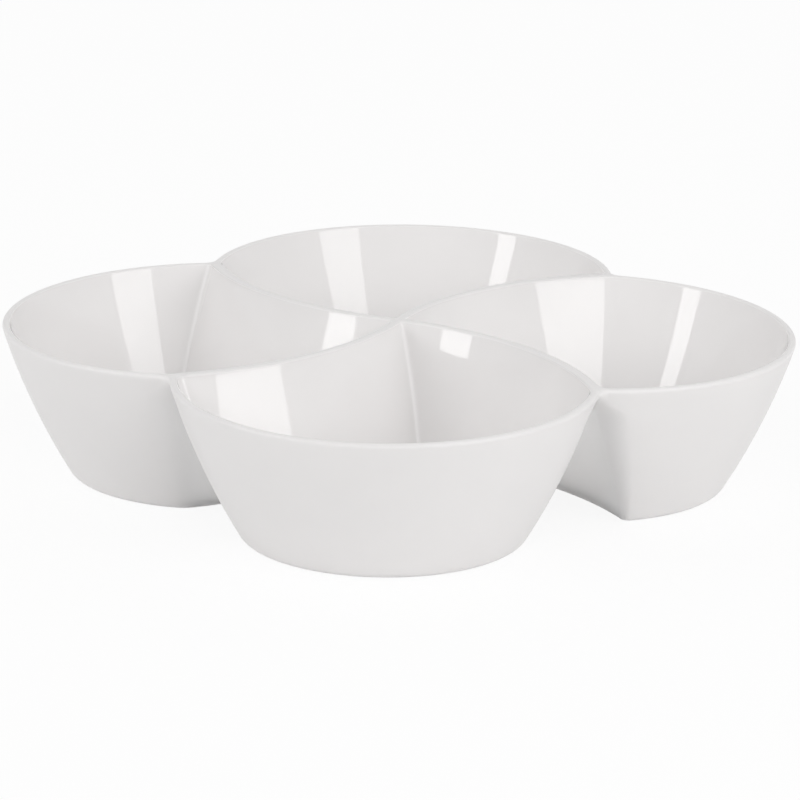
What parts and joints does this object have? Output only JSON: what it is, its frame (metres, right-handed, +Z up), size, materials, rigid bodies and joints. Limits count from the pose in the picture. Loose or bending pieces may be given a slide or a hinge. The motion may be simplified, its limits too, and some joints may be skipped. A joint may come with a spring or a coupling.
{
  "type": "divided serving bowl",
  "caption": "Divided serving dish: round scooped bowls bonded rim to rim in a pinwheel, each on its own flat base, for snacks, dips or side dishes.",
  "frame": {"origin": "middle of the dish, on the plane of its flat bases", "axes": "+Z up out of the bowls; the front bowl lies towards -Y and the right bowl towards +X"},
  "size_m": [0.3, 0.3, 0.061],
  "materials": {
    "bowl_plastic": "glossy warm white moulded plastic, a little softer outside than inside"
  },
  "bodies": {
    "root": {"front_bowl": "bowl_plastic", "right_bowl": "bowl_plastic", "back_bowl": "bowl_plastic", "left_bowl": "bowl_plastic"}
  },
  "joints": []
}
